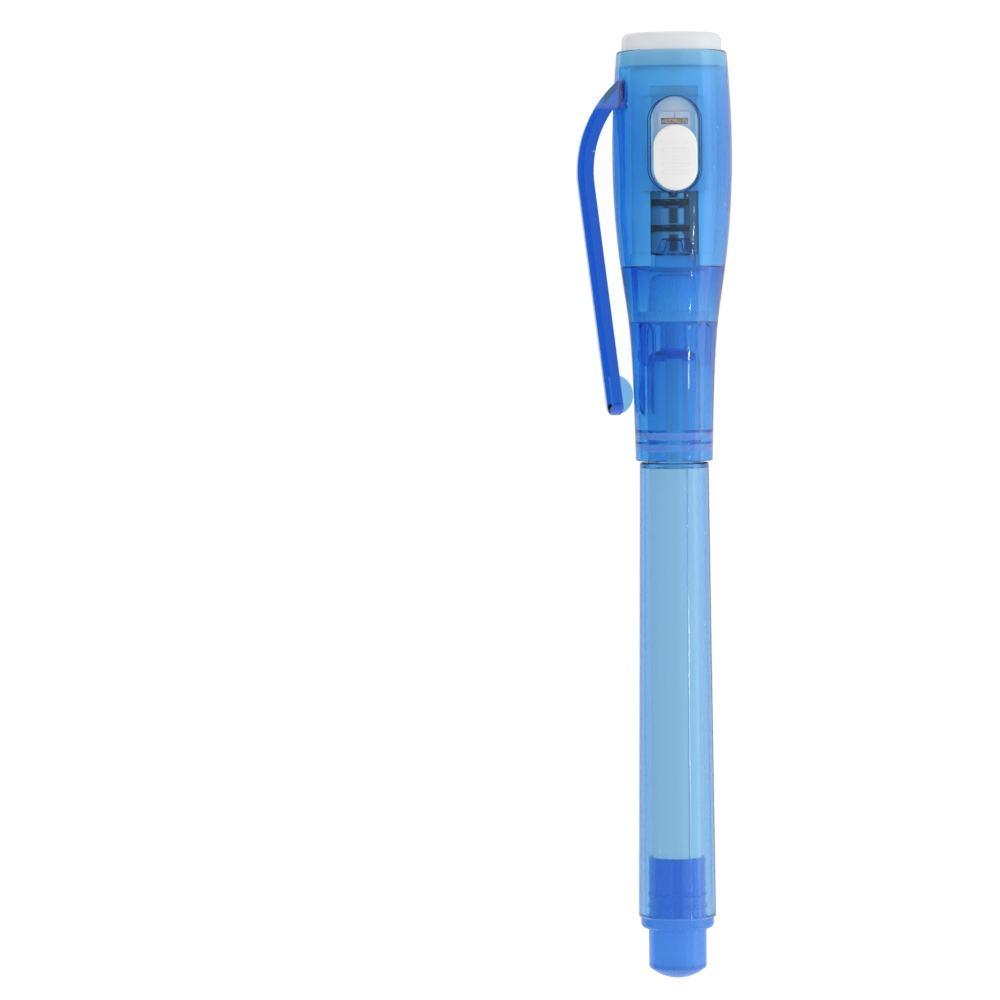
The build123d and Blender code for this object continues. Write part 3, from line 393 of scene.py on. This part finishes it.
def plated_metal(name, shade, roughness, stretch, metallic=1.0, tarnish=PLATING_TARNISH):
    """Plated metal with a mottled tarnish, and drawing lines along the axes that stretch scales down."""
    material, tree = new_material(name)
    place = add_node(tree, "ShaderNodeTexCoord").outputs["Object"]
    drawn = add_node(tree, "ShaderNodeMapping", {"Vector": place, "Scale": stretch})
    lines = add_node(tree, "ShaderNodeTexNoise", {
        "Vector": drawn, "Scale": 1 / SCRATCH, "Detail": SCRATCH_DETAIL})
    gloss = add_node(tree, "ShaderNodeMapRange", {
        "Value": lines, "To Min": roughness * SCRATCH_GLOSSY, "To Max": roughness * SCRATCH_DULL})
    mottle = add_node(tree, "ShaderNodeTexNoise", {"Vector": place, "Scale": 1 / MOTTLE})
    dulled = add_node(tree, "ShaderNodeMapRange", {
        "Value": mottle, "From Min": NOISE_LOW, "From Max": NOISE_HIGH, "To Min": 1 - tarnish})
    shades = add_node(tree, "ShaderNodeVectorMath", {
        0: colour(shade)[:3], "Scale": dulled}, operation="SCALE")
    surface = add_node(tree, "ShaderNodeBsdfPrincipled", {
        "Base Color": shades, "Metallic": metallic, "Roughness": gloss})
    add_node(tree, "ShaderNodeOutputMaterial", {"Surface": surface})
    return material


nickel = plated_metal("nickel-plated steel", NICKEL, NICKEL_ROUGHNESS, (SCRATCH_STRETCH, 1, SCRATCH_STRETCH))
nylon = moulded_plastic("black nylon", SEAL_BLACK, NYLON_ROUGHNESS)
for number in (1, 2, 3):
    finish_node(f"cell_{number}_can", nickel)
    finish_node(f"cell_{number}_cap", nickel)
    finish_node(f"cell_{number}_seal", nylon)

# Contact strip and leads: tin-plated spring strip and wire, bent cold. The strip runs from under the cells
# past the carrier's window, and the slider carries a leaf of dull bronze.
TIN = "#D8DADE"
TIN_ROUGHNESS = 0.25
BRONZE = "#D2C6BA"
BRONZE_ROUGHNESS = 0.5
BRONZE_METALLIC = 0.4
BRONZE_TARNISH = 0.75
tinned = plated_metal("tin-plated spring steel", TIN, TIN_ROUGHNESS, (1, SCRATCH_STRETCH, 1))
for name in ("contact_strip", "led_cathode_lead", "led_anode_lead"):
    finish_node(name, tinned)
finish_node("switch_contact", plated_metal(
    "dull spring bronze", BRONZE, BRONZE_ROUGHNESS, (1, SCRATCH_STRETCH, 1), BRONZE_METALLIC, BRONZE_TARNISH))

# Lamp lens: clear epoxy, cast round the heads of the leads in the shape of a bullet. It is held between the
# carrier and the bezel.
LENS_TINT = "#EDEBFA"
LENS_TINT_DEPTH = 3.0 * MM
LENS_CLARITY = 0.99
LENS_ROUGHNESS = 0.03
EPOXY_IOR = 1.54
finish_node("led_lens", clear_plastic(
    "clear cast epoxy", LENS_TINT, LENS_TINT_DEPTH, LENS_TINT, LENS_CLARITY, LENS_ROUGHNESS, EPOXY_IOR))

# Studio floor and card: a pale floor that the pen lies on, touching it with the cap's bulge and the
# barrel's rear. A dark card on the left, which only the gloss of the pen sees, keeps that side deep.
BULGE_RADIUS = 8.2 * MM
BULGE_STATION = 106.15 * MM
REAR_RADIUS = 5.33 * MM
REAR_STATION = 1.8 * MM
FLOOR_HALF = 3.0
FLOOR_WHITE = "#F4F4F4"
FLOOR_GLOW = 0.9
THROUGH_GLOW = 0.6
FLOOR_GLOW_LEVEL = 1.05
CARD_GREY = "#242424"
CARD_NEAR = -17 * MM
CARD_FAR = -0.6
CARD_HALF_LENGTH = 0.5
CARD_LIFT = 0.2 * MM
slope = math.atan2(BULGE_RADIUS - REAR_RADIUS, BULGE_STATION - REAR_STATION)
middle = (BULGE_STATION + REAR_STATION) / 2
depth = (BULGE_RADIUS + REAR_RADIUS) / 2 / math.cos(slope)


def studio_sheet(name, left, right, half_length, lift, material):
    """Flat sheet on the slope that the pen lies on, lifted off it by a little."""
    corners = ((left, -half_length), (right, -half_length), (right, half_length), (left, half_length))
    mesh = bpy.data.meshes.new(name)
    mesh.from_pydata(
        [(x, y, lift - depth - (y - middle) * math.tan(slope)) for x, y in corners], [], [(0, 1, 2, 3)])
    mesh.materials.append(material)
    sheet = bpy.data.objects.new(name, mesh)
    bpy.context.scene.collection.objects.link(sheet)
    return sheet


material, tree = new_material("pale studio floor")
rays = add_node(tree, "ShaderNodeLightPath").outputs
seen = add_node(tree, "ShaderNodeMath", {0: rays["Is Camera Ray"], 1: FLOOR_GLOW}, operation="MULTIPLY")
share = add_node(tree, "ShaderNodeMath", {
    0: rays["Is Transmission Ray"], 1: THROUGH_GLOW, 2: seen}, operation="MULTIPLY_ADD")
matt = add_node(tree, "ShaderNodeBsdfDiffuse", {"Color": colour(FLOOR_WHITE)})
glow = add_node(tree, "ShaderNodeEmission", {"Color": (1, 1, 1, 1), "Strength": FLOOR_GLOW_LEVEL})
both = add_node(tree, "ShaderNodeMixShader", {0: share, 1: matt, 2: glow})
add_node(tree, "ShaderNodeOutputMaterial", {"Surface": both})
floor = studio_sheet("floor", -FLOOR_HALF, FLOOR_HALF, FLOOR_HALF, 0.0, material)

material, tree = new_material("dark card")
matt = add_node(tree, "ShaderNodeBsdfDiffuse", {"Color": colour(CARD_GREY)})
add_node(tree, "ShaderNodeOutputMaterial", {"Surface": matt})
card = studio_sheet("dark_card", CARD_FAR, CARD_NEAR, CARD_HALF_LENGTH, CARD_LIFT, material)
card.visible_camera = False
card.visible_diffuse = False
card.visible_transmission = False
card.visible_shadow = False

# Studio light: a soft white surround at a plain level, a low soft box on the right and a row of short strip
# lamps above it. The gloss sees less of the surround on the left, and the clear walls see a dimmer patch
# overhead, where the camera stands.
SURROUND = 1.02
GLOSS_LEFT = 0.08
GLOSS_RIGHT = 0.62
GLOSS_LEFT_END = -0.5
GLOSS_RIGHT_END = 0.9
INSIDE_LEFT = 0.55
INSIDE_RIGHT = 1.25
OVERHEAD = 0.95
OVERHEAD_BLUR = 0.02
OVERHEAD_SHARE = 0.15
LAMP_DISTANCE = 0.6
SOFT_BOX_LEAN = 78
SOFT_BOX_WIDTH = 0.35
SOFT_BOX_LENGTH = 0.7
SOFT_BOX_RADIANCE = 0.95
STRIP_LEAN = 40
STRIP_WIDTH = 0.012
STRIP_STATIONS_LENGTHS_RADIANCES = ((36, 4, 20), (2, 22, 40), (-34, 10, 20), (-72, 8, 30))
world = bpy.data.worlds.new("studio")
bpy.context.scene.world = world
world.use_nodes = True
tree = world.node_tree
tree.nodes.clear()
heading = add_node(tree, "ShaderNodeTexCoord").outputs["Generated"]
towards = add_node(tree, "ShaderNodeSeparateXYZ", {"Vector": heading}).outputs
rays = add_node(tree, "ShaderNodeLightPath").outputs
mirrored = add_node(tree, "ShaderNodeMath", {
    0: rays["Is Glossy Ray"], 1: rays["Is Transmission Ray"]}, operation="SUBTRACT", use_clamp=True)
side = add_node(tree, "ShaderNodeMapRange", {
    "Value": towards["X"], "From Min": -1.0, "To Min": INSIDE_LEFT, "To Max": INSIDE_RIGHT})
overhead = add_node(tree, "ShaderNodeMapRange", {
    "Value": towards["Z"], "From Min": OVERHEAD - OVERHEAD_BLUR, "From Max": OVERHEAD + OVERHEAD_BLUR,
    "To Min": 1.0, "To Max": OVERHEAD_SHARE})
through = add_node(tree, "ShaderNodeMath", {0: side, 1: overhead}, operation="MULTIPLY")
plain = add_node(tree, "ShaderNodeMapRange", {
    "Value": rays["Is Transmission Ray"], "To Min": SURROUND, "To Max": through})
gloss = add_node(tree, "ShaderNodeMapRange", {
    "Value": towards["X"], "From Min": GLOSS_LEFT_END, "From Max": GLOSS_RIGHT_END,
    "To Min": GLOSS_LEFT, "To Max": GLOSS_RIGHT})
level = add_node(tree, "ShaderNodeMix", {"Factor": mirrored, "A": plain, "B": gloss})
sky = add_node(tree, "ShaderNodeBackground", {"Color": (1, 1, 1, 1), "Strength": level})
add_node(tree, "ShaderNodeOutputWorld", {"Surface": sky})


def area_lamp(name, lean, station, width, length, radiance):
    """Flat lamp over a station of the pen: lean is its angle to the right of overhead."""
    lamp = bpy.data.lights.new(name, "AREA")
    lamp.shape = "RECTANGLE"
    lamp.size = width
    lamp.size_y = length
    lamp.energy = radiance * math.pi * width * length
    holder = bpy.data.objects.new(name, lamp)
    holder.matrix_world = (
        Matrix.Translation((0, station, 0)) @ Matrix.Rotation(math.radians(lean), 4, "Y")
        @ Matrix.Translation((0, 0, LAMP_DISTANCE)))
    bpy.context.scene.collection.objects.link(holder)
    return holder


area_lamp("soft_box", SOFT_BOX_LEAN, middle, SOFT_BOX_WIDTH, SOFT_BOX_LENGTH, SOFT_BOX_RADIANCE)
for station, length, radiance in STRIP_STATIONS_LENGTHS_RADIANCES:
    strip = area_lamp(f"strip_lamp_{station}", STRIP_LEAN, station * MM, STRIP_WIDTH, length * MM, radiance)
    strip.visible_diffuse = False
    strip.visible_transmission = False

# Camera: nearly straight down on the pen, a little from the lamp's side, as the photograph was taken.
# The field is the width of the picture at the pen's axis.
CAMERA_DISTANCE = 0.63
CAMERA_LEAN = 2.75
CAMERA_ROLL = 0.52
CAMERA_SIDE = 1.1
FIELD = 137.5 * MM
AIM = Vector((-24.03 * MM, 59.34 * MM, 0))
SENSOR = 36.0
NEAREST = 0.01
FARTHEST = 20.0
lens = bpy.data.cameras.new("camera")
lens.sensor_width = SENSOR
lens.lens = SENSOR * CAMERA_DISTANCE / FIELD
lens.clip_start = NEAREST
lens.clip_end = FARTHEST
camera = bpy.data.objects.new("camera", lens)
camera.matrix_world = (
    Matrix.Translation(AIM)
    @ Matrix.Rotation(math.radians(-CAMERA_SIDE), 4, "Y")
    @ Matrix.Rotation(math.radians(-CAMERA_LEAN), 4, "X")
    @ Matrix.Rotation(math.radians(-CAMERA_ROLL), 4, "Z")
    @ Matrix.Translation((0, 0, CAMERA_DISTANCE)))
bpy.context.scene.collection.objects.link(camera)
bpy.context.scene.camera = camera
bpy.context.scene.view_settings.view_transform = "Standard"
